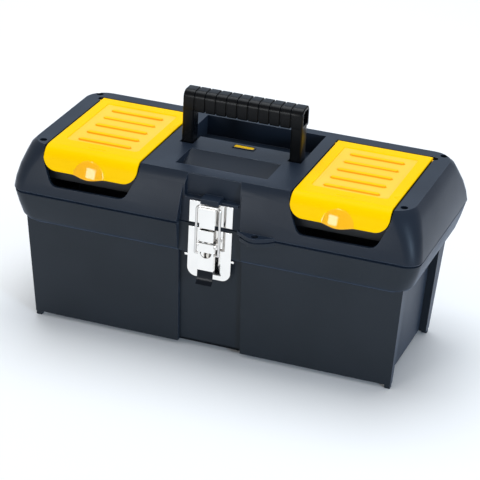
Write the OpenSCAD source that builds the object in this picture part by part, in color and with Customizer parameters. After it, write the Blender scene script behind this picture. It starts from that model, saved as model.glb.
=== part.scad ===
// Hand-carried box: drafted tub, rear-hinged lid with two lidded organisers and a fold-down
// handle, draw latch, padlock ears and a lift-out tray. Millimetres, +Z up.
// Origin: on the ground, under the middle of the closed box's outline. The front faces -Y.

/* [Case] */
// Length over the lid's lower lip
case_l = 410; // [402:2:424]
// Depth over the lid's lower lip
case_w = 184; // [180:1:192]
// Height of the parting line above the ground
part_z = 136; // [132:1:150]
// Height of the lid above the parting line
lid_h = 48.5; // [47.5:0.5:54]
// Wall thickness of the mouldings
wall = 3; // [2.6:0.2:3.2]
// Corner radius of the lid's top, seen from above
corner_r = 21; // [18:1:23]
// Corner radius of the lid's lower lip and of the tub's band
low_r = 15; // [13:1:18]
// Open gap of the parting line
part_gap = 1.4; // [1:0.2:1.8]

/* [Lower body] */
// Distance of the end walls behind the lid's lower lip, under the band
end_in = 23; // [22:1:25]
// Distance of the front wall behind the lid's lower lip, under the band
front_in = 9; // [8.5:0.5:10]
// Distance of the back wall behind the lid's lower lip, under the band
back_in = 22; // [21:1:25]
// How far each corner flange stands out past the end wall
flange_out = 8.3; // [6.3:0.5:8.8]
// Thickness of a corner flange
flange_t = 15; // [10:1:18]
// Clearance of the tub's lower edge above the ground
skirt_z = 4; // [2:0.5:4.5]

/* [Hinge] */
// Distance of each hinge from the end of the case
hinge_in = 85; // [65:5:105]
// Length of one hinge knuckle
knuckle_l = 18; // [14:1:22]
// Outer radius of a hinge knuckle
knuckle_r = 5; // [4.5:0.25:5.25]
// Diameter of a hinge pin
hinge_pin_d = 3.5; // [3:0.5:4.5]

/* [Latch] */
// Width of the recess that the latch lies in
recess_w = 64; // [60:1:66]
// Depth of the recess behind the lid's lower lip
recess_d = 8; // [7:0.5:8.5]
// Width of the two latch plates
plate_w = 43.6; // [40:0.4:50]
// Length of the lower plate
plate_l = 51; // [49:1:53]
// Width of the lever and of the hook
lever_w = 15.6; // [14:0.4:18]
// Length of the lever below its pin
lever_l = 29; // [27:1:31]
// Diameter of the bail wire
wire_d = 2.5; // [2:0.25:2.5]

/* [Handle] */
// Length of the handle
handle_l = 121.4; // [114:1:123]
// Height of the standing handle above the lid
handle_rise = 52.5; // [51:0.5:53]
// Height of the grip's section
grip_h = 20.3; // [17:0.5:20.5]
// Width of a handle post
post_w = 11.3; // [9.5:0.5:11.5]
// Number of grooves round the grip
groove_n = 10; // [6:1:12]

/* [Organisers] */
// Distance of an organiser's lid from the end of the case
org_end = 32.6; // [31:0.2:38]
// Distance of an organiser's lid from the handle's well
org_side = 14.4; // [12:0.4:20]
// Gap round an organiser's lid
org_gap = 1.8; // [1.4:0.2:2]
// Depth of an organiser's bin
bin_h = 27.6; // [24:0.6:33]

/* [Tray] */
// Distance of the tray's end walls inside the outer end walls
tray_end = 10; // [8:1:14]
// Distance of the tray's front wall inside the outer front wall
tray_front = 13; // [13:1:21]
// Distance of the tray's back wall inside the outer back wall
tray_back = 10; // [9:1:18]
// Height of the tray's walls
tray_h = 41; // [34:1:42]
// Wall thickness of the tray
tray_wall = 2.2; // [1.8:0.2:2.6]

/* [Hidden] */
$fn = 48;
thin = 0.2;              // height of the slices that the crowned forms are drawn through
over = 2;                // how far a cutting tool runs past the face it opens
run = 0.06;              // radial clearance of a turning fit
gap = 0.4;               // clearance between pieces that lie beside each other
hx = case_l / 2;
hy = case_w / 2;
end_x = hx - end_in;
front_y = hy - front_in;
back_y = hy - back_in;
hinge_x = hx - hinge_in;
lid_z0 = part_z + part_gap / 2;
lid_t = part_z + lid_h;
tub_t = part_z - part_gap / 2;

// Lid form: [height share, end inset, front inset, back inset, corner radius], bottom to top
crown = [[0, 1.2, 1.2, 1.2, low_r - 1], [0.03, 0, 0, 0, low_r], [0.24, 1, 1.5, 3, low_r + 1],
         [0.49, 3.5, 4, 6.5, low_r + 3], [0.74, 7.5, 7.5, 10.5, corner_r],
         [0.91, 11, 10.5, 14, corner_r], [1, 15, 13.5, 17, corner_r]];
// Tub band: [depth under its top edge, end inset, front inset, back inset, corner radius]
band = [[0, 1, 0.4, 1, low_r], [12, 3.8, 2.4, 3.8, low_r], [24, 7.5, 4.6, 7.5, low_r],
        [28, 10.5, 6.5, 11, low_r], [30, 14, 9, 18, low_r]];
band_room = [[-6, 1, 0.4, 1, low_r], [12, 3.8, 2.4, 3.8, low_r], [24, 7.5, 4.6, 7.5, low_r]];
ledge_z = tub_t - 24;
band_z0 = tub_t - 30;

end_lean = 6.5;          // the lower walls lean in by these amounts down to the ground
flange_lean = 7.3;
front_lean = 8;
back_lean = 12;
body_z1 = band_z0 + 4;
floor_lift = 3.5;        // the tub's underside lies this far above its skirt
skirt_t = 4;
floor_z = skirt_z + floor_lift + wall;
foot_cut = 1;            // the recess's foot ends this far above the skirt
foot = 5.5;
foot_x = end_x + flange_out - flange_lean;
lip_t = 1.5;             // upstanding lip on the tub's rim, inside the lid
lip_h = 3.2;
lip_root = 8;            // depth of its root behind the band
lip_gap = 1.2;
lip_in = wall + lip_gap;

recess_y = -(hy - recess_d);
recess_half = recess_w / 2;
recess_top_half = recess_half - 3;
low_recess_d = 4;
upper_y = recess_y + 5;  // the recess is deeper above the strike, with leaning side walls
upper_half = recess_half - 5.5;
upper_lean = 0.28;
rivet_reach = 20;
hinge_y = hy + knuckle_r + 0.5;
knuckle_gap = 0.5;
pin_r = hinge_pin_d / 2;
pin_l = 3 * knuckle_l + 2 * knuckle_gap;

sheet = 1;               // latch sheet metal
plate_y = recess_y - sheet;
hook_out = 10;           // depth of the hook, so the latch's pieces end in one front plane
lever_face = recess_y - hook_out - sheet;
pin_z = part_z - 16;
pin_y = lever_face + 3;
lever_pin_r = 1.2;
lever_top = 2;           // the lever stands this far above its pin
lever_ear_r = 2.6;
window_z = pin_z - 7;
window_r = 5.8;
bail_drop = 9.5;
wire_r = wire_d / 2;
bail_z0 = pin_z - bail_drop;
hook_top = part_z + 21.1;
hook_lip = 0.6;
bail_z1 = hook_top + wire_r + 0.1;
bail_x = lever_w / 2 + 3.9;
bail_bend = 3.6;
rivet_r = 1.5;
rivet_head_r = 3;
rivet_head_t = 1.2;
latch_rivet_z = [pin_z - 24, pin_z - 14];
strike_rivet_z = [part_z + 6, part_z + 14];
pad_half = 18;
strike_top = part_z + 23.5;
strike_foot = part_z + 1.4;
ledge_top = strike_top + 3.3;
plate_top = part_z - 3;
strap_half = 6.9;        // folded strap between the hook and the lever
strap_z0 = pin_z + 3.9;
pad_y1 = low_recess_d + wall + 3 - front_y;

ear_x = 48;              // padlock ears, right of the latch
ear_hole_r = 3.8;
ear_front = -(hinge_y + knuckle_r);
ear_y = ear_front + ear_hole_r + 2.3;
ear_t = 3.5;

pivot_y = -0.5;
pivot_z = lid_t - 10;
trunnion_r = 4;
post_y0 = -11;
post_d = 15;
grip_y0 = -11;
grip_d = 19.5;
grip_z1 = lid_t + handle_rise;
grip_z0 = grip_z1 - grip_h;
groove_pitch = (handle_l - 13) / groove_n;
handle_half = handle_l / 2;
side_gap = 1.3;
well_half = handle_half + side_gap;
notch_w = post_w + 2 * side_gap;
well_y0 = 8;
well_y1 = pivot_y + handle_rise + 12;
well_z = lid_t - 20.5;
notch_y0 = -13;
bridge_y0 = -23;
trough_y0 = 27.5 - hy;
trough_half = 46;
trough_z = lid_t - 12.5;
badge_l = 23;
badge_w = 9;
badge_d = 0.8;

org_x0 = well_half + org_side;
org_w = hx - org_end - org_x0;
org_x = org_x0 + org_w / 2;
org_back = hy - 33.6;
org_half = org_w / 2;
panel_half = org_half - 11;
rib_in = 41.5;           // what a rib is shorter than its lid
rib_l = org_w - rib_in;
cut_half = org_half + org_gap;
cut_back = org_back + 2.6;
frame_z = lid_t - 7.6;   // ledge that carries a bin's rim
bin_half = cut_half - 5;
bin_y0 = 14 - hy;
bin_y1 = org_back - 9.4;
bin_z1 = frame_z + 1.7;
bin_z0 = bin_z1 - bin_h;
bin_wall = 1.8;
org_t = 2.7;
org_top = lid_t + 0.8;
org_axis_y = org_back - 3.4;
org_axis_z = lid_t - 3;
org_low = lid_t - 21.2;  // lower edge of the lid's front
stub_r = 2;
corner_x = hx - 24.4;
corner_y = hy - 24.4;
corner_hole_r = 3.7;

tray_l = 2 * (end_x - tray_end);
tray_w = front_y + back_y - tray_front - tray_back;
tray_y = (back_y - tray_back - front_y + tray_front) / 2;
tray_rim = 16;
tray_rim_t = 2;
tray_rim_z = ledge_z + 0.2;
tray_lip = 5.4;          // the tray's walls stand this far above its end rims
tray_z1 = tray_rim_z + tray_rim_t + tray_lip;
tray_z0 = tray_z1 - tray_h;
tray_grip_rise = 33;
tray_grip_z = tray_z1 + tray_grip_rise;
tray_grip_half = 58;
tray_cell = 114;         // length of the tray's end cells
tray_cell_x = tray_l / 2 - tray_cell;
hand_hole_r = 7;
hand_hole_drop = 4.5;
hand_hole_in = 15;

// Extrude a (y, z) outline along X, or an (x, z) outline along Y
module along_x(l) { rotate([90, 0, 90]) linear_extrude(l, center = true) children(); }
module along_y(l) { rotate([90, 0, 0]) linear_extrude(l, center = true) children(); }

// Rod along X, centred on x = 0, and a box given by its two corners
module rod(r, l) { rotate([0, 90, 0]) cylinder(r = r, h = l, center = true); }
module box(a, b) { translate(a) cube(b - a); }

// Rounded rectangle, centred
module plate_2d(l, w, r) {
    square([l - 2 * r, w], center = true);
    square([l, w - 2 * r], center = true);
    for (sx = [-1, 1], sy = [-1, 1])
        translate([sx * (l / 2 - r), sy * (w / 2 - r)]) circle(r);
}

// Crowned form through the slices of a table, inset by skin
module slices(rows, skin) {
    hull()
        for (c = rows, sx = [-1, 1], sy = [-1, 1])
            translate([sx * (hx - c[1] - c[4]), sy * (hy - c[4]) - (sy > 0 ? c[3] : -c[2]), c[0]])
                cylinder(r = c[4] - skin, h = thin, $fn = 32);
}
module lid_form(skin, drop) {
    rise = lid_t - lid_z0 - skin - thin;
    slices([for (c = crown) [lid_z0 + rise * c[0] - drop * (1 - c[0]), c[1], c[2], c[3], c[4]]],
           skin);
}
module band_form(rows, skin) {
    slices([for (c = rows) [tub_t - c[0] - thin, c[1], c[2], c[3], c[4]]], skin);
}

// Drafted block: half length x, front y0 and back y1 under the band, each with its lean
module drafted(x, x_lean, y0, y1, z0, z1) {
    s0 = 1 - z0 / body_z1;
    s1 = 1 - z1 / body_z1;
    intersection() {
        along_y(4 * hy)
            polygon([[-x + x_lean * s0, z0], [x - x_lean * s0, z0],
                     [x - x_lean * s1, z1], [-x + x_lean * s1, z1]]);
        along_x(4 * hx)
            polygon([[y0 + front_lean * s0, z0], [y1 - back_lean * s0, z0],
                     [y1 - back_lean * s1, z1], [y0 + front_lean * s1, z1]]);
    }
}

// One knuckle with its root; up = 1 on the lid, -1 on the tub
module knuckle(up) {
    translate([0, hinge_y, part_z]) rod(knuckle_r, knuckle_l);
    translate([0, (hinge_y + hy - wall) / 2, part_z + up * (part_gap + knuckle_r) / 2])
        cube([knuckle_l, hinge_y - hy + wall, knuckle_r - part_gap], center = true);
}
module hinge_bores() {
    for (s = [-1, 1])
        translate([s * hinge_x, hinge_y, part_z]) rod(pin_r + run, pin_l + 2 * over);
}

// Padlock ear with its hole, from z0 to z1
module ear(z0, z1) {
    difference() {
        translate([0, 0, z0])
            linear_extrude(z1 - z0)
                polygon([[ear_x - 19, 4 - hy], [ear_x - 19, -hy], [ear_x - 12, ear_front + 5.6],
                         [ear_x - 5, ear_front + 0.9], [ear_x - 2, ear_front],
                         [ear_x + 3, ear_front], [ear_x + 12, ear_front + 5],
                         [ear_x + 18, -hy], [ear_x + 18, 4 - hy]]);
        translate([ear_x, ear_y, z0 - over]) cylinder(r = ear_hole_r, h = z1 - z0 + 2 * over);
    }
}

module base_tub() {
    color([0.16, 0.19, 0.22]) {
        difference() {
            union() {
                band_form(band, 0);
                drafted(end_x, end_lean, -front_y, back_y, skirt_z, body_z1);
                // corner flanges
                intersection() {
                    drafted(end_x + flange_out, flange_lean, -front_y, back_y, skirt_z, body_z1);
                    for (s = [-1, 1]) {
                        box([s * hx - hx / 4, -hy, 0], [s * hx + hx / 4, flange_t - front_y, body_z1]);
                        box([s * hx - hx / 4, back_y - back_lean - flange_t + 4, 0],
                            [s * hx + hx / 4, hy, body_z1]);
                    }
                }
                lip();
                ear(tub_t - ear_t, tub_t);
                for (s = [-1, 1], k = [-1, 1])
                    translate([s * hinge_x + k * (knuckle_l + knuckle_gap), 0, 0]) knuckle(-1);
            }
            difference() {
                union() {
                    drafted(end_x - wall, end_lean, wall - front_y, back_y - wall, floor_z,
                            ledge_z + over);
                    band_form(band_room, wall);
                }
                recess_liner();
            }
            recess_cut();
            // hollow underside, open at the foot of the recess
            drafted(end_x - skirt_t, end_lean, skirt_t - front_y, back_y - skirt_t,
                    skirt_z - over, skirt_z + floor_lift);
            box([-recess_half, -hy, skirt_z - over], [recess_half, 0, skirt_z + foot_cut]);
            hinge_bores();
            rivet_holes(latch_rivet_z);
        }
        // pad behind the lower end of the latch plate
        difference() {
            box([-pad_half, recess_y, pin_z - lever_l - 2], [pad_half, pad_y1, band_z0 + 1]);
            rivet_holes(latch_rivet_z);
        }
        // foot nubs under the four corners
        for (s = [-1, 1]) {
            box([s * (foot_x - foot / 2) - foot / 2, front_lean - front_y + 0.5, 0],
                [s * (foot_x - foot / 2) + foot / 2, front_lean - front_y + 0.5 + foot, skirt_z + 2]);
            box([s * (foot_x - foot / 2) - foot / 2, back_y - back_lean - foot - 0.5, 0],
                [s * (foot_x - foot / 2) + foot / 2, back_y - back_lean - 0.5, skirt_z + 2]);
        }
    }
}
// Upstanding lip along the rim, broken behind the latch recess
module lip() {
    difference() {
        translate([0, 0, tub_t - lip_root])
            linear_extrude(lip_root + lip_h)
                difference() {
                    plate_2d(case_l - 2 * lip_in, case_w - 2 * lip_in, low_r - lip_in);
                    plate_2d(case_l - 2 * (lip_in + lip_t), case_w - 2 * (lip_in + lip_t),
                             low_r - lip_in - lip_t);
                }
        box([-recess_half - wall - 1, -2 * hy, tub_t - 2 * lip_root],
            [recess_half + wall + 1, 0, tub_t + 2 * lip_h]);
    }
}
// Space in front of the drafted plane that lies d behind the lower front wall
module ahead(d, half, z0, z1) {
    along_x(2 * half)
        polygon([[-2 * hy, z0], [d - front_y + front_lean * (1 - z0 / body_z1), z0],
                 [d - front_y + front_lean * (1 - z1 / body_z1), z1], [-2 * hy, z1]]);
}
// Wall left standing behind the latch recess, and the recess itself
module recess_liner() {
    box([-recess_half - wall, -2 * hy, band_z0], [recess_half + wall, recess_y + wall, tub_t + over]);
    ahead(low_recess_d + wall, recess_half + wall, 0, ledge_z);
}
module recess_cut() {
    box([-recess_half, -2 * hy, band_z0], [recess_half, recess_y, tub_t + over]);
    ahead(low_recess_d, recess_half, 0, band_z0 + thin);
}
module rivet_holes(zs) {
    for (z = zs)
        translate([0, plate_y - over, z]) rotate([-90, 0, 0]) cylinder(r = rivet_r, h = rivet_reach);
}

module lid_shell() {
    color([0.2, 0.24, 0.29]) difference() {
        union() {
            difference() {
                lid_form(0, 0);
                difference() {
                    lid_form(wall, over);
                    lid_liners();
                }
                lid_recess(recess_half, recess_top_half, recess_y);
                upper_recess(0, ledge_top);
            }
            // block over the strike, and the ledge that the strike plate tucks under
            box([-8.5, recess_y - 8.5, strike_top + 1.3], [9.5, upper_y + 1, strike_top + 6.3]);
            box([-26, recess_y - 2.5, strike_top + 0.6], [26.5, recess_y + 1, ledge_top]);
            ear(lid_z0, lid_z0 + ear_t);
            for (s = [-1, 1]) translate([s * hinge_x, 0, 0]) knuckle(1);
        }
        well();
        trough();
        for (s = [-1, 1]) translate([s * org_x, 0, 0]) organiser_opening();
        for (s = [-1, 1]) translate([s * (org_x + cut_half), cut_back - 4, frame_z])
            cylinder(r = 3.6, h = lid_h);
        for (sx = [-1, 1], sy = [-1, 1])
            translate([sx * corner_x, sy * corner_y, lid_t - 3 * wall])
                cylinder(r = corner_hole_r, h = 4 * wall);
        translate([0, 0, lid_t - badge_d]) linear_extrude(over) plate_2d(badge_l, badge_w, 2);
        hinge_bores();
        rivet_holes(strike_rivet_z);
        translate([0, pivot_y, pivot_z]) rod(trunnion_r + run, handle_l + 2 * (side_gap + wall) + over);
    }
}
// Material kept inside the lid: recess, well, trough and the organisers' frames
module lid_liners() {
    lid_recess(recess_half + wall, recess_half, recess_y + wall);
    upper_recess(wall, ledge_top - wall);
    box([-well_half - wall, well_y0 - wall, well_z - wall], [well_half + wall, well_y1 + wall, lid_t]);
    box([-well_half - wall, notch_y0 - wall, well_z - wall], [well_half + wall, well_y0, lid_t]);
    box([-trough_half - wall, trough_y0 - wall, trough_z - wall],
        [trough_half + wall, bridge_y0 + wall, lid_t]);
    for (s = [-1, 1])
        box([s * org_x - cut_half - wall, -2 * hy, frame_z - wall],
            [s * org_x + cut_half + wall, cut_back + wall, lid_t]);
}
module lid_recess(half, top_half, y1) {
    translate([0, y1 - hy, 0])
        along_y(2 * hy)
            polygon([[-half, lid_z0 - over], [half, lid_z0 - over],
                     [top_half, lid_t - wall], [-top_half, lid_t - wall]]);
}
module upper_recess(skin, z0) {
    half = upper_half + skin;
    wide = half + upper_lean * hy;
    translate([0, 0, z0])
        linear_extrude(lid_h)
            polygon([[-wide, upper_y - hy], [wide, upper_y - hy],
                     [half, upper_y + skin], [-half, upper_y + skin]]);
}
module well() {
    box([-well_half, well_y0, well_z], [well_half, well_y1, lid_t + over]);
    for (s = [-1, 1])
        translate([s * (well_half - notch_w / 2), 0, 0])
            box([-notch_w / 2, notch_y0, well_z], [notch_w / 2, well_y0 + over, lid_t + over]);
}
module trough() {
    along_x(2 * trough_half)
        polygon([[trough_y0, lid_t + over], [trough_y0, lid_t], [trough_y0 + 3, lid_t - 0.5],
                 [trough_y0 + 5, lid_t - 1.8], [trough_y0 + 6.5, lid_t - 4.5],
                 [trough_y0 + 7.5, trough_z], [trough_y0 + 10, trough_z],
                 [bridge_y0, lid_t - 0.4], [bridge_y0, lid_t + over]]);
}
// Opening of one organiser: lid seat, bin well and the cut in the fascia
module organiser_opening() {
    box([-cut_half, bin_y0 - 1, frame_z], [cut_half, cut_back, lid_t + over]);
    box([-bin_half - gap, bin_y0 - 1, lid_z0], [bin_half + gap, bin_y1 + gap, frame_z + over]);
    translate([0, bin_y0 - 1 - hy / 2, 0])
        along_y(hy)
            polygon([[-cut_half, lid_t + over], [-cut_half + 0.6, lid_t - 8],
                     [-cut_half + 2, lid_t - 14], [-cut_half + 9, lid_t - 30],
                     [-cut_half + 11.3, lid_t - 33.8], [-cut_half + 14, lid_t - 36.1],
                     [-cut_half + 17.5, lid_t - 37], [cut_half - 17.5, lid_t - 36.4],
                     [cut_half - 14, lid_t - 35.6], [cut_half - 11.3, lid_t - 33.4],
                     [cut_half - 9, lid_t - 29.8], [cut_half - 2, lid_t - 14],
                     [cut_half - 0.6, lid_t - 8], [cut_half, lid_t + over]]);
    translate([0, org_axis_y, org_axis_z]) rod(stub_r + run, 2 * cut_half + 2 * 2.2);
}

module hinge_pin(s) {
    color([0.75, 0.76, 0.78]) translate([s * hinge_x, hinge_y, part_z]) rod(pin_r, pin_l);
}

// Open pan that hangs by its rim in the lid's frame, with two cross walls
module organiser_bin(s) {
    color([0.24, 0.25, 0.27]) translate([s * org_x, 0, 0]) {
        difference() {
            box([-bin_half, bin_y0, bin_z0], [bin_half, bin_y1, bin_z1]);
            box([bin_wall - bin_half, bin_y0 + bin_wall, bin_z0 + bin_wall],
                [bin_half - bin_wall, bin_y1 - bin_wall, bin_z1 + over]);
        }
        for (k = [1, 2]) translate([0, bin_y0 + k * (bin_y1 - bin_y0) / 3, (bin_z0 + bin_z1) / 2])
            cube([2 * bin_half - bin_wall, bin_wall, bin_h - bin_wall], center = true);
        for (k = [-1, 1])
            translate([k * (bin_half + cut_half - gap - bin_wall) / 2, (bin_y0 + bin_y1) / 2,
                       bin_z1 - 0.75])
                cube([cut_half - gap - bin_half + bin_wall, bin_y1 - bin_y0 - 10, 1.5],
                     center = true);
    }
}

// Outline of the organiser lid's section at the shoulder, d under its outer face
function shoulder(d) = [for (p = [[26, d], [18, d], [13.5, 1 + d * 0.95],
    [10 + d * 0.4, 3.6 + d * 0.8], [7.4 + d * 0.8, 7.6 + d * 0.4], [5.4 + d * 0.95, 13.5],
    [3.4 + d, 21.5], [2.6 + d, 27]]) [p[0] - hy, org_top - p[1]]];
module organiser_lid(s) {
    color([1, 0.8, 0.02]) translate([s * org_x, 0, 0]) {
        difference() {
            intersection() {
                union() {
                    box([-org_half, 22 - hy, org_top - org_t], [org_half, org_back, org_top]);
                    along_x(org_w)
                        polygon(concat(shoulder(0), [for (i = [7:-1:0]) shoulder(org_t)[i]]));
                }
                along_y(4 * hy) organiser_front();
            }
            // sunk panel and the short slit in front of it
            box([-panel_half, 35 - hy, org_top - 0.8], [panel_half, org_back - 13.4, org_top + over]);
            box([-9, 23.2 - hy, org_top - 0.6], [9, 24 - hy, org_top + over]);
        }
        for (k = [-2:2])
            translate([0, org_back - 67.4 + 20.2 * k, org_top - 0.9])
                linear_extrude(0.9) plate_2d(rib_l, 5.5, 2.6);
        // hinge barrel with its two moulded stubs
        translate([0, org_axis_y, org_axis_z]) rod(2.8, org_w - 12);
        translate([0, org_axis_y, org_axis_z]) rod(stub_r, 2 * cut_half + 3);
    }
}
// Front view of the organiser lid: rounded lower corners and a shallow thumb lip
module organiser_front() {
    r = 14;
    translate([-org_half, org_low + r]) square([org_w, lid_h]);
    translate([r - org_half, org_low]) square([org_w - 2 * r, 2 * r]);
    for (k = [-1, 1]) translate([k * (org_half - r), org_low + r]) circle(r);
    polygon([[-19, org_low + 1], [-18, org_low], [-12, org_low - 1.8], [-6, org_low - 2.5],
             [6, org_low - 2.5], [12, org_low - 1.8], [18, org_low], [19, org_low + 1]]);
}

// Outline of the grip's section, inset by d
function grip_outline(d) = [[grip_y0 + d, grip_z0 + d], [grip_y0 + grip_d - d, grip_z0 + d],
    [grip_y0 + grip_d - d, grip_z1 - 4], [grip_y0 + grip_d - 2.6, grip_z1 - 0.8 - d],
    [grip_y0 + 7, grip_z1 - d], [grip_y0 + 2.6 + d * 0.5, grip_z1 - 1.8 - d * 0.8],
    [grip_y0 + d, grip_z1 - 6]];
module handle() {
    color([0.06, 0.08, 0.1]) {
        difference() {
            along_x(handle_l) polygon(grip_outline(0));
            for (i = [0 : groove_n - 1])
                translate([(i - (groove_n - 1) / 2) * groove_pitch, 0, 0])
                    along_x(1.2) difference() {
                        polygon(grip_outline(-1));
                        polygon(grip_outline(0.9));
                    }
            for (s = [-1, 1])
                translate([s * handle_half, 0, 0])
                    box([-9, grip_y0 + 7, grip_z0 + 2.5], [9, grip_y0 + grip_d - 3, grip_z1 - 3.5]);
        }
        for (s = [-1, 1]) {
            translate([s * (handle_half - post_w / 2), 0, 0]) {
                box([-post_w / 2, post_y0, pivot_z], [post_w / 2, post_y0 + post_d, grip_z0 + 1]);
                translate([0, post_y0 + post_d / 2, pivot_z]) rod(post_d / 2, post_w);
            }
            translate([s * (handle_half + 1), pivot_y, pivot_z]) rod(trunnion_r, 2 * 2.8);
        }
    }
}

module badge_frame() {
    color([0.03, 0.03, 0.04]) translate([0, 0, lid_t - badge_d]) linear_extrude(badge_d + 0.6)
        difference() {
            plate_2d(badge_l - 0.2, badge_w - 0.2, 1.9);
            plate_2d(badge_l - 3.4, badge_w - 3.4, 1);
        }
}
module badge_insert() {
    color([1, 0.8, 0.1]) translate([0, 0, lid_t - badge_d]) linear_extrude(badge_d + 0.4)
        plate_2d(badge_l - 3.5, badge_w - 3.5, 1);
}

module strike_plate() {
    color([0.93, 0.92, 0.9]) difference() {
        union() {
            box([-plate_w / 2, plate_y, strike_foot], [plate_w / 2, recess_y, strike_top]);
            half = lever_w / 2;
            box([-half, lever_face, strike_foot], [half, lever_face + sheet, hook_top + hook_lip]);
            box([-half, lever_face, hook_top - sheet], [half, recess_y, hook_top]);
            for (k = [-1, 1])
                translate([k * (half - sheet / 2), 0, 0])
                    box([-sheet / 2, lever_face, strike_foot], [sheet / 2, recess_y, hook_top]);
        }
        rivet_holes(strike_rivet_z);
    }
}
module rivets(zs, inside) {
    color([0.8, 0.8, 0.82]) for (z = zs) translate([0, 0, z]) rotate([90, 0, 0]) {
        translate([0, 0, -plate_y]) cylinder(r = rivet_head_r, h = rivet_head_t);
        translate([0, 0, -inside]) cylinder(r = rivet_r - 0.05, h = inside - plate_y);
        translate([0, 0, -inside - rivet_head_t]) cylinder(r = rivet_head_r, h = rivet_head_t);
    }
}
module strike_rivets() { rivets(strike_rivet_z, recess_y + wall); }
module latch_rivets() { rivets(latch_rivet_z, pad_y1); }
module latch_plate() {
    r = 9;
    z0 = plate_top - plate_l;
    half = plate_w / 2;
    color([0.93, 0.92, 0.9]) difference() {
        union() {
            box([-half, plate_y, z0 + r], [half, recess_y, plate_top]);
            box([r - half, plate_y, z0], [half - r, recess_y, z0 + 2 * r]);
            for (k = [-1, 1]) {
                translate([k * (half - r), recess_y, z0 + r]) rotate([90, 0, 0]) cylinder(r = r, h = sheet);
                // clip tabs under the band's edge
                box([k * (half + 1) - 2, plate_y, band_z0 - 3], [k * (half + 1) + 2, recess_y, band_z0 - 0.8]);
                // ears that carry the lever's pin
                translate([k * (lever_w / 2 + 0.9), 0, 0]) {
                    translate([0, pin_y, pin_z]) rod(lever_ear_r, sheet);
                    box([-sheet / 2, pin_y, pin_z - lever_ear_r],
                        [sheet / 2, plate_y + thin, pin_z + lever_ear_r]);
                }
            }
            box([-strap_half, lever_face, strap_z0], [strap_half, recess_y, tub_t]);
        }
        box([sheet - strap_half, lever_face + sheet, strap_z0 - over],
            [strap_half - sheet, plate_y, tub_t - sheet]);
        translate([0, pin_y, pin_z]) rod(lever_pin_r + run, 2 * lever_w);
        rivet_holes(latch_rivet_z);
    }
}
module latch_lever() {
    half = lever_w / 2;
    z0 = pin_z - lever_l;
    color([0.93, 0.92, 0.9]) difference() {
        union() {
            box([-half, lever_face, z0], [half, lever_face + sheet, pin_z + lever_top]);
            for (k = [-1, 1]) translate([k * (half - sheet / 2), 0, 0]) {
                box([-sheet / 2, lever_face, z0], [sheet / 2, pin_y + lever_top, pin_z]);
                box([-sheet / 2, lever_face, pin_z - 1], [sheet / 2, pin_y, pin_z + lever_top]);
                translate([0, pin_y, pin_z]) rod(lever_top, sheet);
            }
            // rolled finger tab
            along_x(lever_w)
                polygon([[lever_face, z0 + 1], [lever_face + sheet, z0 + 1],
                         [lever_face + sheet, z0 - 5], [lever_face - 0.6, z0 - 9],
                         [lever_face - 2.8, z0 - 10.8], [lever_face - 3.6, z0 - 10],
                         [lever_face - 1.6, z0 - 8], [lever_face, z0 - 4.6]]);
        }
        // D-shaped window, flat side up
        intersection() {
            translate([0, lever_face, window_z]) rotate([90, 0, 0])
                cylinder(r = window_r, h = 3 * sheet, center = true);
            box([-half, 2 * lever_face, z0], [half, 0, window_z]);
        }
        translate([0, pin_y, pin_z]) rod(lever_pin_r + run, lever_w + over);
        translate([0, pin_y, bail_z0]) rod(wire_r + run, lever_w + over);
    }
}
module lever_pin() {
    color([0.8, 0.8, 0.82]) translate([0, pin_y, pin_z]) rod(lever_pin_r, lever_w + 3.4);
}
// Wire loop: two legs, a top bar, and ends turned in through the lever's sides
module latch_bail() {
    color([0.93, 0.92, 0.9]) translate([0, pin_y, 0]) {
        for (k = [-1, 1]) {
            translate([k * bail_x, 0, bail_z0]) cylinder(r = wire_r, h = bail_z1 - bail_bend - bail_z0);
            translate([k * bail_x, 0, bail_z0]) sphere(wire_r);
            translate([k * (bail_x + lever_w / 2 - 1.5) / 2, 0, bail_z0])
                rod(wire_r, bail_x - lever_w / 2 + 1.5);
            translate([k * (bail_x - bail_bend), 0, bail_z1 - bail_bend])
                rotate([90, k > 0 ? 0 : -90, 0]) rotate_extrude(angle = 90)
                    translate([bail_bend, 0]) circle(wire_r);
        }
        translate([0, 0, bail_z1]) rod(wire_r, 2 * (bail_x - bail_bend));
    }
}

// Lift-out tray: pan with a carrying wall, two cross walls and end rims that sit on the ledge
module tray() {
    half = tray_l / 2;
    y0 = tray_y - tray_w / 2;
    y1 = tray_y + tray_w / 2;
    color([0.3, 0.33, 0.36]) difference() {
        union() {
            difference() {
                box([-half, y0, tray_z0], [half, y1, tray_z1]);
                box([tray_wall - half, y0 + tray_wall, tray_z0 + tray_wall],
                    [half - tray_wall, y1 - tray_wall, tray_z1 + over]);
            }
            box([-half + 1, tray_y - tray_wall / 2, tray_z0 + 1],
                [half - 1, tray_y + tray_wall / 2, tray_z1]);
            for (s = [-1, 1]) {
                box([s * tray_cell_x - tray_wall / 2, tray_y, tray_z0 + 1],
                    [s * tray_cell_x + tray_wall / 2, y1 - 1, tray_z1]);
                translate([s * (half + tray_rim / 2), tray_y, tray_rim_z + tray_rim_t / 2])
                    cube([tray_rim + 1, tray_w - 16, tray_rim_t], center = true);
            }
            // carrying arch
            translate([0, tray_y, 0]) along_y(9)
                polygon([[-tray_grip_half - 12, tray_z1 - 12], [tray_grip_half + 12, tray_z1 - 12],
                         [tray_grip_half, tray_grip_z - 4], [tray_grip_half - 4, tray_grip_z],
                         [4 - tray_grip_half, tray_grip_z], [-tray_grip_half, tray_grip_z - 4]]);
        }
        // hand hole under the arch
        translate([0, tray_y, 0]) along_y(20)
            translate([0, (tray_z1 + tray_grip_z) / 2 - hand_hole_drop])
                plate_2d(2 * (tray_grip_half - 2 * hand_hole_drop), tray_grip_rise - hand_hole_in,
                         hand_hole_r);
    }
}

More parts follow.
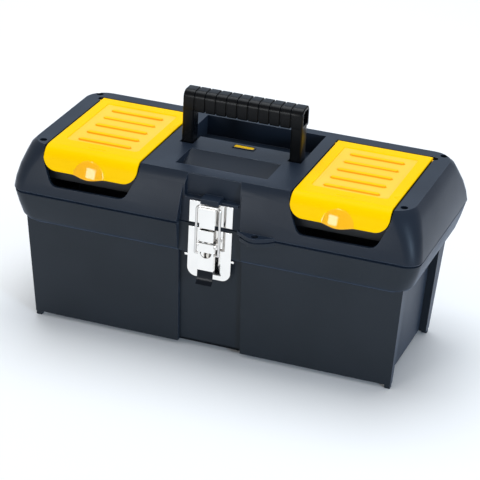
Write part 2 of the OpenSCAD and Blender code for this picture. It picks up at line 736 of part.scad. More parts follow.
base_tub();
lid_shell();
hinge_pin(-1);  // hinge_pin_left
hinge_pin(1);  // hinge_pin_right
organiser_bin(-1);  // organiser_bin_left
organiser_bin(1);  // organiser_bin_right
organiser_lid(-1);  // organiser_lid_left
organiser_lid(1);  // organiser_lid_right
handle();
badge_frame();
badge_insert();
strike_plate();
strike_rivets();
latch_plate();
latch_rivets();
latch_lever();
lever_pin();
latch_bail();
tray();
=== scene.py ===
import bpy
import bmesh
import math
import numpy as np
from mathutils import Matrix, Vector


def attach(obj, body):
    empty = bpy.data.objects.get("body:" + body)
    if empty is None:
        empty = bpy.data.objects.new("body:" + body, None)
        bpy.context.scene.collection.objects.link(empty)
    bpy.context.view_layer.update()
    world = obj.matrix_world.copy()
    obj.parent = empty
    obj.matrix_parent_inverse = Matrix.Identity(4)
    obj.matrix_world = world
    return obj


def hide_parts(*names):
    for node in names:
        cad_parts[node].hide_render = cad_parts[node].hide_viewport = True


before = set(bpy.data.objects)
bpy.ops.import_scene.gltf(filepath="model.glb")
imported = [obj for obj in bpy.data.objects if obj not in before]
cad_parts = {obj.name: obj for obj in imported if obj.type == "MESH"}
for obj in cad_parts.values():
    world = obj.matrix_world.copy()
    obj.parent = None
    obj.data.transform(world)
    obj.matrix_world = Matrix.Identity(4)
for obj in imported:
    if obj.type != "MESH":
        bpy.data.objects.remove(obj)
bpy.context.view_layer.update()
scene = bpy.context.scene

# ---------------------------------------------------------------- camera, floor and lamps
# The stage the toolbox is shown on: a long lens from the right, a pale floor in a pale room, a
# broad lamp overhead, a softbox low in front, a small blue one to the right and a dim blue one
# behind. The room is white to the camera, and dimmer where it lights the toolbox.

MM = 0.001
CAMERA_PLACE = (0.64549, -1.86056, 0.99905)
AZIMUTH, ELEVATION, ROLL = (math.radians(turn) for turn in (19.12, 24.86, 2.91))
LENS, SENSOR = 166.04, 36
FLOOR_HALF, FLOOR_TONE = 6000, 0.92
ROOM_LIGHT = 0.46
LAMP_AIM = Vector((0, 0, 0.1))
# each lamp's place and size in metres, its watts and its colour
LAMPS = {
    "overhead": ((-0.2, 0.5, 2.2), 1.8, 42, (0.89, 0.945, 1.0)),
    "softbox": ((-0.82, -2.36, 0.49), 0.65, 12.5, (0.95, 0.98, 1.0)),
    "right_softbox": ((1.76, -1.28, 0.6), 0.35, 18, (0.56, 0.76, 1.0)),
    "behind": ((-0.75, 2.3, 1.25), 1.5, 3, (0.4, 0.66, 1.0))}

back = Vector((math.sin(AZIMUTH) * math.cos(ELEVATION), -math.cos(AZIMUTH) * math.cos(ELEVATION),
               math.sin(ELEVATION)))
level = Vector((math.cos(AZIMUTH), math.sin(AZIMUTH), 0))
upright = back.cross(level)
right = level * math.cos(ROLL) + upright * math.sin(ROLL)
up = upright * math.cos(ROLL) - level * math.sin(ROLL)
lens = bpy.data.cameras.new("camera")
lens.lens, lens.sensor_width = LENS, SENSOR
lens.clip_start, lens.clip_end = 0.1, 50
camera = bpy.data.objects.new("camera", lens)
camera.matrix_world = (Matrix.Translation(CAMERA_PLACE)
                       @ Matrix((right, up, back)).transposed().to_4x4())
scene.collection.objects.link(camera)
scene.camera = camera
scene.view_settings.view_transform = "Standard"


def mesh_object(name, points, faces):
    """A smooth-shaded object from an array of points in millimetres and a list or array of faces."""
    data = bpy.data.meshes.new(name)
    data.from_pydata(np.asarray(points, float) * MM, [], [tuple(int(i) for i in f) for f in faces])
    data.polygons.foreach_set("use_smooth", np.ones(len(data.polygons), bool))
    data.update()
    made = bpy.data.objects.new(name, data)
    scene.collection.objects.link(made)
    return made


def remapped(tree, value, low, high, start=0.0, stop=1.0):
    """Socket with the socket value carried from the range start..stop over to low..high."""
    node = tree.nodes.new("ShaderNodeMapRange")
    for label, number in (("From Min", start), ("From Max", stop), ("To Min", low), ("To Max", high)):
        node.inputs[label].default_value = number
    tree.links.new(value, node.inputs["Value"])
    return node.outputs["Result"]


floor = mesh_object("floor", FLOOR_HALF * np.array([(-1, -1, 0), (1, -1, 0), (1, 1, 0), (-1, 1, 0)]),
                    [(0, 1, 2, 3)])
pale = bpy.data.materials.new("pale_floor")
pale.use_nodes = True
paint = pale.node_tree.nodes["Principled BSDF"]
paint.inputs["Base Color"].default_value = (FLOOR_TONE, FLOOR_TONE, FLOOR_TONE, 1)
paint.inputs["Roughness"].default_value = 0.9
paint.inputs["Specular IOR Level"].default_value = 0.1
floor.data.materials.append(pale)

world = bpy.data.worlds.new("room")
scene.world = world
world.use_nodes = True
room = world.node_tree
background = room.nodes["Background"]
background.inputs["Color"].default_value = (1, 1, 1, 1)
ray = room.nodes.new("ShaderNodeLightPath")
seen = room.nodes.new("ShaderNodeMath")
seen.operation = "MAXIMUM"
room.links.new(ray.outputs["Is Camera Ray"], seen.inputs[0])
room.links.new(ray.outputs["Is Transmission Ray"], seen.inputs[1])
room.links.new(remapped(room, seen.outputs[0], ROOM_LIGHT, 1.0), background.inputs["Strength"])

for name, (place, size, watts, tint) in LAMPS.items():
    lamp = bpy.data.lights.new(name, "AREA")
    lamp.size, lamp.energy, lamp.color = size, watts, tint
    holder = bpy.data.objects.new(name, lamp)
    holder.location = place
    holder.rotation_euler = (Vector(place) - LAMP_AIM).to_track_quat("Z", "Y").to_euler()
    scene.collection.objects.link(holder)

# ---------------------------------------------------------------- tub
# One large injection moulding in near-black polypropylene with a fine spark-eroded grain: drafted
# walls, corner flanges, the wide band under the parting line and the tray's ledge. Its rounded
# edges carry a lighter, glossier material: a painted highlight along each edge.

NOISE_LOW, NOISE_HIGH = 0.3, 0.7    # the range that a noise's value mostly keeps to
# painted sheen: a blue tint on the sheen lobe, a painted reflection of bluish light at shallow angles
PAINTED_SHEEN_TINT, PAINTED_SHEEN_ROUGH = (0.40, 0.60, 1.0, 1), 0.35
MERGE_WITHIN, FLAT_WITHIN = 1e-6, math.radians(0.4)
EDGE_TURN = math.radians(32)        # an edge that turns by more than this is rounded


def linear(red, green, blue):
    """A colour given in 0-255 screen steps, as the linear light that the shaders use."""
    steps = np.array([red, green, blue]) / 255
    light = np.where(steps <= 0.04045, steps / 12.92, ((steps + 0.055) / 1.055) ** 2.4)
    return (*(float(c) for c in light), 1.0)


def mould_grain_group():
    """Node group: fine cellular grain height, a slow drift of gloss and a slow drift of tone."""
    group = bpy.data.node_groups.new("mould_grain", "ShaderNodeTree")
    face = group.interface
    for label, start in (("Grain Scale", 900.0), ("Drift Scale", 14.0)):
        face.new_socket(label, in_out="INPUT", socket_type="NodeSocketFloat").default_value = start
    for label in ("Height", "Gloss Drift", "Tone Drift"):
        face.new_socket(label, in_out="OUTPUT", socket_type="NodeSocketFloat")
    nodes, links = group.nodes, group.links
    given, out = nodes.new("NodeGroupInput"), nodes.new("NodeGroupOutput")
    place = nodes.new("ShaderNodeTexCoord")
    grain, drift = nodes.new("ShaderNodeTexNoise"), nodes.new("ShaderNodeTexNoise")
    cells = nodes.new("ShaderNodeTexVoronoi")
    for texture, scale in ((grain, "Grain Scale"), (cells, "Grain Scale"), (drift, "Drift Scale")):
        links.new(place.outputs["Object"], texture.inputs["Vector"])
        links.new(given.outputs[scale], texture.inputs["Scale"])
    drift.inputs["Detail"].default_value = 4.0
    height = nodes.new("ShaderNodeMath")
    height.operation = "MULTIPLY"
    links.new(grain.outputs["Fac"], height.inputs[0])
    links.new(cells.outputs["Distance"], height.inputs[1])
    links.new(height.outputs[0], out.inputs["Height"])
    links.new(drift.outputs["Fac"], out.inputs["Gloss Drift"])
    tone = remapped(group, drift.outputs["Fac"], 0.0, 1.0, NOISE_LOW, NOISE_HIGH)
    links.new(tone, out.inputs["Tone Drift"])
    return group


mould_grain = mould_grain_group()


def moulded_plastic(name, light, dark, gloss, grain_height, specular, painted_sheen=0.0, grain_scale=900.0):
    """Plastic whose tone drifts from light to dark and whose roughness drifts over the range gloss,
    with the mould's grain as a bump of grain_height metres and a painted blue sheen at shallow angles
    of weight painted_sheen, a painted reflection of bluish light on tops and ends."""
    material = bpy.data.materials.new(name)
    material.use_nodes = True
    tree = material.node_tree
    nodes, links = tree.nodes, tree.links
    shader = nodes["Principled BSDF"]
    grain = nodes.new("ShaderNodeGroup")
    grain.node_tree = mould_grain
    grain.inputs["Grain Scale"].default_value = grain_scale
    tone = nodes.new("ShaderNodeMix")
    tone.data_type = "RGBA"
    tone.inputs["A"].default_value, tone.inputs["B"].default_value = light, dark
    links.new(grain.outputs["Tone Drift"], tone.inputs["Factor"])
    links.new(tone.outputs["Result"], shader.inputs["Base Color"])
    rough = remapped(tree, grain.outputs["Gloss Drift"], *gloss, NOISE_LOW, NOISE_HIGH)
    links.new(rough, shader.inputs["Roughness"])
    bump = nodes.new("ShaderNodeBump")
    bump.inputs["Distance"].default_value = grain_height
    links.new(grain.outputs["Height"], bump.inputs["Height"])
    links.new(bump.outputs["Normal"], shader.inputs["Normal"])
    shader.inputs["Specular IOR Level"].default_value = specular
    shader.inputs["Sheen Weight"].default_value = painted_sheen
    shader.inputs["Sheen Roughness"].default_value = PAINTED_SHEEN_ROUGH
    shader.inputs["Sheen Tint"].default_value = PAINTED_SHEEN_TINT
    return material


def moulding_of(node, name, body, edge, material, glint=None):
    """The node's own form as one joined surface: loose triangles merged, flat areas made one
    face, and every edge that turns by more than EDGE_TURN rounded over edge millimetres, as far as
    the faces beside it leave room, in the material glint if there is one."""
    work = bmesh.new()
    work.from_mesh(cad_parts[node].data)
    bmesh.ops.remove_doubles(work, verts=work.verts, dist=MERGE_WITHIN)
    bmesh.ops.dissolve_limit(work, angle_limit=FLAT_WITHIN, verts=work.verts, edges=work.edges)
    for f in work.faces:
        f.smooth = True
    for e in work.edges:
        e.smooth = len(e.link_faces) == 2 and e.calc_face_angle(0) < EDGE_TURN
    data = bpy.data.meshes.new(name)
    work.to_mesh(data)
    work.free()
    made = bpy.data.objects.new(name, data)
    scene.collection.objects.link(made)
    data.materials.append(material)
    if edge:
        bevel = made.modifiers.new("edge_radius", "BEVEL")
        bevel.width, bevel.segments = edge * MM, 2
        bevel.limit_method, bevel.angle_limit = "ANGLE", EDGE_TURN
        bevel.harden_normals = True
        if glint:
            data.materials.append(glint)
            bevel.material = 1
    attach(made, body)
    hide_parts(node)
    return made


tub_black = moulded_plastic("tub_polypropylene", linear(32, 38, 45), linear(28, 34, 40),
                            (0.42, 0.5), 0.00008, 0.22, 0.25)
# painted highlight: lighter and glossier, on the rounded edges of tub and lid where light catches
# them
painted_edge_highlight = moulded_plastic("moulded_edge_painted_highlight", linear(88, 97, 110), linear(78, 86, 98),
                              (0.24, 0.3), 0.0, 0.6, 0.2)
moulding_of("base_tub", "tub", "base", 1.1, tub_black, glint=painted_edge_highlight)

# ---------------------------------------------------------------- hinge pins
# Two drawn steel rods pushed through the rear knuckles of the tub and of the lid, which turns on
# them. Their plain ends are flush with the knuckles.

TARNISH = 0.9                       # how much of the metal's lightness its smudges keep
SMUDGE_SCALE, STREAK_SCALE = 60.0, 4.0


def drawn_metal(name, colour, rough, lines, line_scale=(2.0, 400.0, 400.0)):
    """Metal with faint lines along one axis: noise stretched by line_scale drives the roughness
    over the range rough and a bump of lines metres."""
    material = bpy.data.materials.new(name)
    material.use_nodes = True
    tree = material.node_tree
    nodes, links = tree.nodes, tree.links
    shader = nodes["Principled BSDF"]
    shader.inputs["Metallic"].default_value = 1.0
    place, stretch = nodes.new("ShaderNodeTexCoord"), nodes.new("ShaderNodeMapping")
    streak, smudge = nodes.new("ShaderNodeTexNoise"), nodes.new("ShaderNodeTexNoise")
    stretch.inputs["Scale"].default_value = line_scale
    links.new(place.outputs["Object"], stretch.inputs["Vector"])
    links.new(stretch.outputs["Vector"], streak.inputs["Vector"])
    streak.inputs["Scale"].default_value = STREAK_SCALE
    links.new(remapped(tree, streak.outputs["Fac"], *rough), shader.inputs["Roughness"])
    smudge.inputs["Scale"].default_value = SMUDGE_SCALE
    links.new(place.outputs["Object"], smudge.inputs["Vector"])
    tint = nodes.new("ShaderNodeMix")
    tint.data_type = "RGBA"
    tint.inputs["A"].default_value = colour
    tint.inputs["B"].default_value = (*(TARNISH * c for c in colour[:3]), 1.0)
    links.new(smudge.outputs["Fac"], tint.inputs["Factor"])
    links.new(tint.outputs["Result"], shader.inputs["Base Color"])
    bump = nodes.new("ShaderNodeBump")
    bump.inputs["Distance"].default_value = lines
    links.new(streak.outputs["Fac"], bump.inputs["Height"])
    links.new(bump.outputs["Normal"], shader.inputs["Normal"])
    return material


pin_steel = drawn_metal("pin_steel", (0.6, 0.6, 0.6, 1), (0.25, 0.4), 0.00002)
for side in ("left", "right"):
    moulding_of("hinge_pin_" + side, "hinge_rod_" + side, "base", 0.3, pin_steel)

# ---------------------------------------------------------------- lid shell
# The lid is one moulding in the same grained plastic, a little glossier, with a crowned top:
# handle well, finger trough, organiser openings and latch recess.

lid_black = moulded_plastic("lid_polypropylene", linear(25, 34, 46), linear(21, 29, 40),
                            (0.35, 0.43), 0.00007, 0.22, 0.12)
moulding_of("lid_shell", "lid", "lid", 0.7, lid_black, glint=painted_edge_highlight)

# ---------------------------------------------------------------- organiser bins
# Two pans moulded in dark grey plastic and hung by their rims in the lid's openings. Their front
# walls show in the gap under the yellow lids.

bin_grey = moulded_plastic("bin_grey_plastic", linear(30, 31, 33), linear(25, 26, 28),
                           (0.34, 0.42), 0.00004, 0.3)
for side in ("left", "right"):
    moulding_of("organiser_bin_" + side, "bin_" + side, "lid", 0.4, bin_grey)

# ---------------------------------------------------------------- organiser lids
# Glossy yellow mouldings with a sunk ribbed panel. The front wraps down over the shoulder to a lip
# with a polished thumb dome in a deeper orange, which is painted shade, and a barrel with two stubs
# along the back edge turns in the lid.
# Sizes are in millimetres, with y and z in the toolbox's own frame.

COVER_X, COVER_HALF, COVER_BACK = 124.4, 48.0, 58.4
COVER_TOP, COVER_LOW, COVER_SKIN = 185.3, 163.3, 2.2
COVER_CORNER, COVER_EDGE = 14.0, 1.0
# side profile: y, and how far below the top, from the back edge to below the lower edge
COVER_OUTLINE = ((COVER_BACK + 8, 0), (-74, 0), (-78.5, 1), (-82, 3.6), (-84.6, 7.6), (-86.6, 13.5),
                 (-88.6, 21.5), (-89.4, 27), (-90, 33))
PROFILE_STEP, PROFILE_BELL, BELL_REACH = 0.25, 2.0, 24
# the grid's rows and columns: close together at the border, even in between
EDGE_ROWS = np.array([0, 0.12, 0.3, 0.6, 1.0])
FIRST_ROW, ROW_STEP, COLUMNS = 1.6, 0.62, 129
FRONT_TOP, FRONT_ROWS, LAST_ROWS = 181.5, 58, (0.975, 0.99, 1.0)
FLAT_FRONT, SHOULDER_FRONT = -72, -78
PANEL_HALF, PANEL_Y0, PANEL_Y1, PANEL_DEPTH, PANEL_CORNER = 37.0, -57.0, 45.0, 1.3, 4.0
PANEL_STEP, PANEL_FRONT_STEP, PANEL_FRONT = 0.7, 2.2, 6
RIBS, RIB_FIRST, RIB_PITCH, RIB_HALF, RIB_R, RIB_STEP = 5, -49.4, 20.2, 27.3, 2.75, 0.8
RIB_REACH, NO_RIB = 9, 99.0
SLIT_Y, SLIT_HALF, SLIT_HALF_Y, SLIT_CORNER, SLIT_STEP, SLIT_DEPTH = -68.8, 9.0, 0.7, 0.6, 0.6, 0.7
THUMB_HALF, THUMB_DROP = 18.8, 2.5
DOME_R, DOME_FOOT, DOME_BLEND = 16.3, 162.7, 1.6
DOME_CURVE, DOME_Y, DOME_Z = 70.0, -22.0, 148.1
GLOSSY, MATT, POLISHED_PAINTED_SHADE, RIB_PAINTED_SHADE = range(4)
BARREL_Y, BARREL_Z = 55.0, 181.5
# x and radius from the middle of the barrel outwards: the barrel, its stub and the stub's chamfer
BARREL_STEPS = ((41.9, 2.8), (42.3, 2.0), (50.9, 2.0), (51.3, 1.6))
ROD_SIDES = 32

yellow = moulded_plastic("yellow_plastic", linear(255, 203, 0), linear(254, 199, 0),
                         (0.26, 0.34), 0.00002, 0.02)
yellow_matt = moulded_plastic("yellow_matt_panel", linear(255, 205, 50), linear(254, 200, 42),
                              (0.42, 0.5), 0.00004, 0.35)
# painted shade: deeper orange on the front slopes of the ribs, where they face away from the light
yellow_rib_painted_shade = moulded_plastic("yellow_rib_painted_shade", linear(255, 158, 0), linear(252, 150, 0),
                                  (0.3, 0.4), 0.00002, 0.05)
# polished, and painted a deeper orange than the rest: painted shade on the thumb dome
yellow_polish_and_painted_shade = moulded_plastic("yellow_thumb_dome_painted_shade", linear(255, 186, 0), linear(254, 180, 0),
                                (0.05, 0.07), 0.0, 0.5)


def eased(value):
    """Smooth step of value clipped to 0..1: v^2 (3 - 2 v)."""
    v = np.clip(value, 0, 1)
    return v * v * (3 - 2 * v)


def rounded(x, y, half_x, half_y, radius):
    """Signed distance to a rounded rectangle, negative inside:
    |max(q, 0)| + min(max(qx, qy), 0) - radius, with q = |p| - half + radius."""
    qx, qy = np.abs(x) - half_x + radius, np.abs(y) - half_y + radius
    return (np.hypot(np.maximum(qx, 0), np.maximum(qy, 0)) + np.minimum(np.maximum(qx, qy), 0)
            - radius)


def closed_shell(name, outer, inner, materials, zones):
    """Two grids of points (rows, columns, 3) in millimetres joined round their border into one
    closed surface; zones gives each outer face's material number, and the rest take the first."""
    rows, columns = outer.shape[:2]
    count = rows * columns
    index = np.arange(count).reshape(rows, columns)
    quads = np.stack([index[:-1, :-1], index[1:, :-1], index[1:, 1:], index[:-1, 1:]],
                     -1).reshape(-1, 4)
    ring = np.concatenate([index[0, :-1], index[:-1, -1], index[-1, :0:-1], index[:0:-1, 0]])
    after = np.roll(ring, -1)
    rim = np.stack([ring, after, after + count, ring + count], -1)
    faces = np.concatenate([quads, quads[:, ::-1] + count, rim])
    made = mesh_object(name, np.concatenate([outer.reshape(-1, 3), inner.reshape(-1, 3)]), faces)
    for m in materials:
        made.data.materials.append(m)
    numbers = np.zeros(len(faces), np.int32)
    numbers[:len(quads)] = zones.ravel()
    made.data.polygons.foreach_set("material_index", numbers)
    return made


def cover_section():
    """The lid's side profile by arc length s: COVER_OUTLINE as points y(s), z(s) every PROFILE_STEP,
    each the mean of its neighbours weighted by a bell curve of width PROFILE_BELL."""
    corners = np.array(COVER_OUTLINE)
    line = np.stack([corners[:, 0], COVER_TOP - corners[:, 1]], 1)
    along = np.concatenate([[0], np.cumsum(np.hypot(*np.diff(line, axis=0).T))])
    s = np.arange(0, along[-1], PROFILE_STEP)
    steps = np.arange(-BELL_REACH, BELL_REACH + 1)
    bell = np.exp(-0.5 * (steps * PROFILE_STEP / PROFILE_BELL) ** 2)
    bell /= bell.sum()
    y, z = (np.convolve(np.interp(s, along, line[:, k]), bell, "valid") for k in (0, 1))
    s = s[BELL_REACH:-BELL_REACH]
    keep = y < COVER_BACK
    return s[keep] - s[keep][0], y[keep], z[keep]


def cover_grid(s, y, z):
    """Grid of x by arc length: even rows over the top, then rows shared out between FRONT_TOP and
    the lower edge, z = low + R - sqrt(R^2 - corner^2) less a cosine dip under the thumb. Returns
    the grids of x and s, and the arc length at which each column ends."""
    panel_side = np.linspace(PANEL_HALF - 0.6, PANEL_HALF + 0.6, 5)
    x = np.unique(np.round(np.concatenate(
        [np.linspace(-COVER_HALF + 1, COVER_HALF - 1, COLUMNS), COVER_HALF - EDGE_ROWS,
         EDGE_ROWS - COVER_HALF, panel_side, -panel_side]), 3))
    corner = np.maximum(np.abs(x) - (COVER_HALF - COVER_CORNER), 0)
    dip = THUMB_DROP * 0.5 * (1 + np.cos(np.pi * np.clip(x / THUMB_HALF, -1, 1)))
    low = (COVER_LOW + COVER_CORNER - np.sqrt(np.maximum(COVER_CORNER ** 2 - corner ** 2, 0))
           - dip)
    order = np.argsort(z)
    s_end = np.interp(low, z[order], s[order])
    s_front = np.interp(FRONT_TOP, z[order], s[order])
    top = np.concatenate([EDGE_ROWS, np.arange(FIRST_ROW, s_front, ROW_STEP)])
    share = np.concatenate([np.linspace(0, 1, FRONT_ROWS)[:-2], LAST_ROWS])
    grid_s = np.concatenate([np.repeat(top[:, None], len(x), 1),
                             s_front + share[:, None] * (s_end - s_front)[None, :]])
    return np.repeat(x[None, :], len(grid_s), 0), grid_s, s_end


def organiser_cover(name, centre, body, node):
    """Cover as a grid of x by arc length s, sunk along its normal by depth(x, y): the panel less
    its ribs, a slit and a rounded border. The thumb dome is the part of a ball that stands out of
    the front, y = y0 - sqrt(R^2 - x^2 - (z - z0)^2)."""
    s, y, z = cover_section()
    grid_x, grid_s, s_end = cover_grid(s, y, z)
    grid_y, grid_z = np.interp(grid_s, s, y), np.interp(grid_s, s, z)
    normal_y = np.interp(grid_s, s, np.gradient(z, s))
    normal_z = -np.interp(grid_s, s, np.gradient(y, s))

    flat = grid_y > FLAT_FRONT
    panel = rounded(grid_x, grid_y - (PANEL_Y0 + PANEL_Y1) / 2, PANEL_HALF,
                    (PANEL_Y1 - PANEL_Y0) / 2, PANEL_CORNER)
    step = np.where(grid_y < PANEL_Y0 + PANEL_FRONT, PANEL_FRONT_STEP, PANEL_STEP)
    sink = eased(0.5 - panel / step)
    rib_y = (grid_y - RIB_FIRST + RIB_PITCH / 2) % RIB_PITCH - RIB_PITCH / 2
    ribbed = ((grid_y > RIB_FIRST - RIB_REACH)
              & (grid_y < RIB_FIRST + (RIBS - 1) * RIB_PITCH + RIB_REACH))
    rib_y = np.where(ribbed, rib_y, NO_RIB)
    rib = eased(0.5 - rounded(grid_x, rib_y, RIB_HALF, RIB_R, RIB_R) / RIB_STEP)
    slit = eased(0.5 - rounded(grid_x, grid_y - SLIT_Y, SLIT_HALF, SLIT_HALF_Y, SLIT_CORNER)
                 / SLIT_STEP)
    depth = np.where(flat, PANEL_DEPTH * sink * (1 - rib) + SLIT_DEPTH * slit, 0.0)
    to_edge = np.minimum(np.minimum(COVER_HALF - np.abs(grid_x), grid_s), s_end[None, :] - grid_s)
    from_round = COVER_EDGE - np.clip(to_edge, 0, COVER_EDGE)
    depth = depth + COVER_EDGE - np.sqrt(COVER_EDGE ** 2 - from_round ** 2)

    ring = DOME_R - np.hypot(grid_x, grid_z - DOME_FOOT)
    ball_y = DOME_Y - np.sqrt(DOME_CURVE ** 2 - grid_x ** 2 - (grid_z - DOME_Z) ** 2)
    domed = (grid_y < SHOULDER_FRONT) & (ring > 0)
    swell = np.where(domed, np.maximum(grid_y - ball_y, 0) * eased(ring / DOME_BLEND), 0.0)

    skin = np.where(to_edge < COVER_EDGE, COVER_SKIN, depth + COVER_SKIN)
    outer, inner = (np.stack([grid_x + centre, grid_y - swell - d * normal_y, grid_z - d * normal_z],
                             -1) for d in (depth, skin))
    floor_part, dome_part, rib_part, rib_front = (
        (g[:-1, :-1] + g[1:, 1:]) / 2
        for g in (sink * (1 - rib) * flat, domed.astype(float), rib * flat,
                  (rib_y < 0) * sink * flat))
    zones = np.where(dome_part > 0.5, POLISHED_PAINTED_SHADE, np.where(floor_part > 0.5, MATT, GLOSSY))
    # the ribs' front slopes take the deeper orange painted shade
    painted_shade_rib_slope = (rib_part > 0.06) & (rib_part < 0.94) & (rib_front > 0.5)
    zones = np.where(painted_shade_rib_slope, RIB_PAINTED_SHADE, zones)
    made = closed_shell(name, outer, inner, (yellow, yellow_matt, yellow_polish_and_painted_shade, yellow_rib_painted_shade),
                        zones)
    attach(made, body)
    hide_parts(node)
    return made


def swept_loops(name, loops, material, sharp, clockwise=True):
    """Object from closed loops of points (sections, points, 3) in millimetres, each joined to the
    next, with a face over both ends. The loops run clockwise, seen from beyond the last, or not;
    an edge that turns by more than sharp degrees stays sharp."""
    sections, sides = loops.shape[:2]
    index = np.arange(sections * sides).reshape(sections, sides)
    quads = np.stack([index[:-1], index[1:], np.roll(index[1:], -1, 1), np.roll(index[:-1], -1, 1)],
                     -1).reshape(-1, 4)
    faces = [*quads, index[0], index[-1][::-1]]
    made = mesh_object(name, loops.reshape(-1, 3), faces if clockwise else [f[::-1] for f in faces])
    made.data.materials.append(material)
    made.data.set_sharp_from_angle(angle=math.radians(sharp))
    return made


def turned_rod(name, centre, steps, material, body, node):
    """A rod along X through centre (mm), made of (x, radius) steps round the axis:
    (x, r cos a, r sin a), with a face at each end."""
    x, r = np.array(steps).T[:, :, None]
    angle = np.linspace(0, 2 * np.pi, ROD_SIDES, endpoint=False)
    loops = np.stack(np.broadcast_arrays(x, r * np.cos(angle), r * np.sin(angle)), -1)
    made = swept_loops(name, loops + np.array(centre), material, 40, clockwise=False)
    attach(made, body)
    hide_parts(node)
    return made


barrel = [*((-x, r) for x, r in reversed(BARREL_STEPS)), *BARREL_STEPS]
for side, sign in (("left", -1), ("right", 1)):
    turning = "organiser_cover_" + side
    organiser_cover("cover_" + side, sign * COVER_X, turning, "organiser_lid_" + side)
    turned_rod("cover_barrel_" + side, (sign * COVER_X, BARREL_Y, BARREL_Z), barrel, yellow,
               turning, "organiser_lid_" + side)

# ---------------------------------------------------------------- handle
# One satin black moulding: a grooved grip with hollow ends on two posts that end in round pivot
# eyes, carried by stub trunnions in the sides of the well. Sizes are in millimetres.

GRIP_HALF, GRIP_Y, GRIP_Z, GRIP_HALF_Y, GRIP_HALF_Z = 60.7, -1.25, 226.85, 9.75, 10.15
GRIP_CORNERS, GRIP_END_R = (7.0, 4.0, 1.2, 1.2), 1.4
HOLLOW_STARTS, HOLLOW_ENDS, HOLLOW_WALLS = 0.3, 9, (2.9, 3.3)
GROOVES, GROOVE_PITCH = 10, 10.84
# one groove: x from its middle, and depth
GROOVE_PROFILE = ((-1.0, 0), (-0.72, 0.35), (-0.4, 0.9), (0.4, 0.9), (0.72, 0.35), (1.0, 0))
POST_X, POST_HALF_X, POST_Y, POST_HALF_Y, POST_R = 55.05, 5.65, -3.5, 7.5, 1.6
POST_LEVELS, EYE_START, EYE_ROWS = (190, 205, 217.6), 0.12, 14
TRUNNION_X, PIVOT_Y, PIVOT_Z = 61.7, -0.5, 174.5
TRUNNION_STEPS = ((-2.8, 4.0), (2.5, 4.0), (2.8, 3.7))

handle_black = moulded_plastic("handle_black_plastic", linear(7, 9, 12), linear(3, 4, 6),
                               (0.24, 0.32), 0.00006, 0.16, 0.03)


def corner_loop(half_y, half_z, radii, steps=10):
    """Closed (y, z) loop round a rectangle, quarter arcs of the four radii at its corners
    (front top, back top, back bottom, front bottom), equally many points on each."""
    arc = np.linspace(0, np.pi / 2, steps)
    loop = []
    for k, r in enumerate(radii):
        sy, sz = ((-1, 1), (1, 1), (1, -1), (-1, -1))[k]
        turn = np.pi - arc - k * np.pi / 2
        loop.append(np.stack([sy * (half_y - r) + r * np.cos(turn),
                              sz * (half_z - r) + r * np.sin(turn)], 1))
    return np.concatenate(loop)


def grip():
    """Grip by sections along X: the outer skin inset by each groove's profile, turning in round
    GRIP_END_R at the ends to the walls of the open hollow, which ends HOLLOW_ENDS deep."""
    loop = corner_loop(GRIP_HALF_Y, GRIP_HALF_Z, GRIP_CORNERS)
    groove_x, groove_depth = np.array(GROOVE_PROFILE).T
    middle = np.arange(GROOVES) - (GROOVES - 1) / 2
    x = (middle[:, None] * GROOVE_PITCH + groove_x[None, :]).ravel()
    turn = np.linspace(0, np.pi / 2, 5)
    end_x = GRIP_HALF - GRIP_END_R + GRIP_END_R * np.sin(turn)
    end_in = GRIP_END_R - GRIP_END_R * np.cos(turn)
    hollow_x = np.array([GRIP_HALF - HOLLOW_STARTS, GRIP_HALF - HOLLOW_ENDS])
    hollow_in = np.array(HOLLOW_WALLS)
    xs = np.concatenate([-hollow_x[::-1], -end_x[::-1], x, end_x, hollow_x])
    insets = np.concatenate([hollow_in[::-1], end_in[::-1], np.tile(groove_depth, GROOVES), end_in,
                             hollow_in])
    scale_y, scale_z = 1 - insets / GRIP_HALF_Y, 1 - insets / GRIP_HALF_Z
    loops = np.stack([np.repeat(xs[:, None], len(loop), 1),
                      GRIP_Y + scale_y[:, None] * loop[None, :, 0],
                      GRIP_Z + scale_z[:, None] * loop[None, :, 1]], -1)
    return swept_loops("handle_grip", loops, handle_black, 50)


def post(name, side):
    """Post as (x, y) rounded rectangles up the height; below the pivot the depth follows the round
    eye, half depth = sqrt(R^2 - (z - z0)^2)."""
    eye = np.linspace(EYE_START, np.pi / 2, EYE_ROWS)
    heights = np.concatenate([PIVOT_Z - POST_HALF_Y * np.cos(eye), POST_LEVELS])
    below = np.clip(PIVOT_Z - heights, 0, POST_HALF_Y - 0.02)
    half_y = np.sqrt(POST_HALF_Y ** 2 - below ** 2)
    loops = []
    for z, half in zip(heights, half_y):
        r = min(POST_R, half * 0.9)
        flat = corner_loop(POST_HALF_X, half, (r, r, r, r), 6)
        loops.append(np.stack([side * POST_X + flat[:, 0], POST_Y + flat[:, 1],
                               np.full(len(flat), z)], 1))
    return swept_loops(name, np.array(loops), handle_black, 50)


for piece in (grip(), post("handle_post_left", -1), post("handle_post_right", 1)):
    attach(piece, "carry_handle")
    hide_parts("handle")
for side, sign in (("left", -1), ("right", 1)):
    steps = TRUNNION_STEPS if sign > 0 else [(-x, r) for x, r in reversed(TRUNNION_STEPS)]
    turned_rod("handle_trunnion_" + side, (sign * TRUNNION_X, PIVOT_Y, PIVOT_Z), steps,
               handle_black, "carry_handle", "handle")

# ---------------------------------------------------------------- badge
# A small black frame round a yellow insert, let into the bridge in front of the handle. Both are
# mouldings pressed into place, and left plain.

moulding_of("badge_frame", "badge_surround", "lid", 0.2, handle_black)
moulding_of("badge_insert", "badge_plate", "lid", 0.2, yellow)
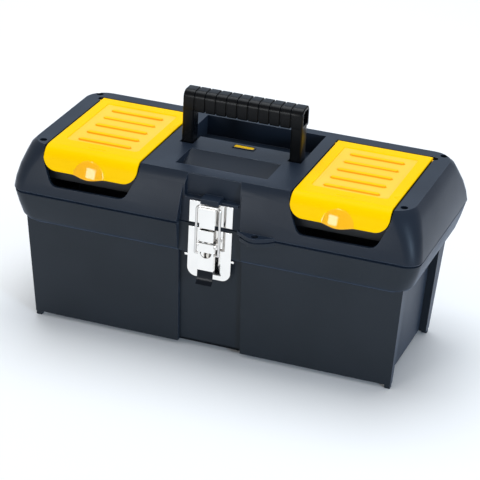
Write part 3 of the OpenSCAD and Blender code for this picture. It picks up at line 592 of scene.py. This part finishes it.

# ---------------------------------------------------------------- latch
# Pressed steel with bright nickel plating: strike with its hook on the lid, hinge plate on the
# tub, lever, wire bail, and the rivets and pin that hold them. The lever's curled finger tab is
# painted dark navy: a painted reflection of the dark tub in its underside.

TAB_TOP = 94.5                      # the painted reflection's upper edge, in millimetres above the floor
EVEN_LINES = (60.0, 60.0, 60.0)     # plating and wire have no drawn direction

nickel = drawn_metal("bright_nickel", (0.95, 0.93, 0.9, 1), (0.06, 0.14), 0.000008, EVEN_LINES)
wire_steel = drawn_metal("bright_wire", (0.72, 0.7, 0.68, 1), (0.05, 0.12), 0.000004, EVEN_LINES)
# painted reflection: dark navy on the lever's curled tab, for the dark tub mirrored in its underside
tab_painted_reflection = moulded_plastic("lever_tab_painted_reflection", linear(10, 16, 24), linear(8, 13, 20),
                              (0.18, 0.26), 0.00002, 0.15)


def paint_below(piece, height, material):
    """Faces cut through at height (mm), and those below it given the material."""
    piece.data.materials.append(material)
    work = bmesh.new()
    work.from_mesh(piece.data)
    bmesh.ops.bisect_plane(work, geom=[*work.verts, *work.edges, *work.faces], dist=1e-7,
                           plane_co=(0, 0, height * MM), plane_no=(0, 0, 1))
    for f in work.faces:
        f.material_index = int(f.calc_center_median().z < height * MM)
    work.to_mesh(piece.data)
    work.free()


moulding_of("strike_plate", "strike", "lid", 0.25, nickel)
moulding_of("strike_rivets", "strike_rivet_pair", "lid", 0.2, nickel)
moulding_of("latch_plate", "latch_base", "base", 0.25, nickel)
moulding_of("latch_rivets", "latch_rivet_pair", "base", 0.2, nickel)
moulding_of("lever_pin", "lever_pivot", "base", 0.2, pin_steel)
lever = moulding_of("latch_lever", "lever_pressing", "lever", 0.3, nickel)
paint_below(lever, TAB_TOP, tab_painted_reflection)
moulding_of("latch_bail", "bail_wire", "bail", 0, wire_steel)

# ---------------------------------------------------------------- tray
# Lift-out tote tray moulded in satin grey plastic, in one piece with its carrying arch. It rests
# on the ledge round the tub's walls.

tray_grey = moulded_plastic("tray_grey_plastic", linear(62, 66, 72), linear(54, 58, 64),
                            (0.36, 0.44), 0.00005, 0.35)
moulding_of("tray", "tote_tray", "lift_tray", 0.5, tray_grey)
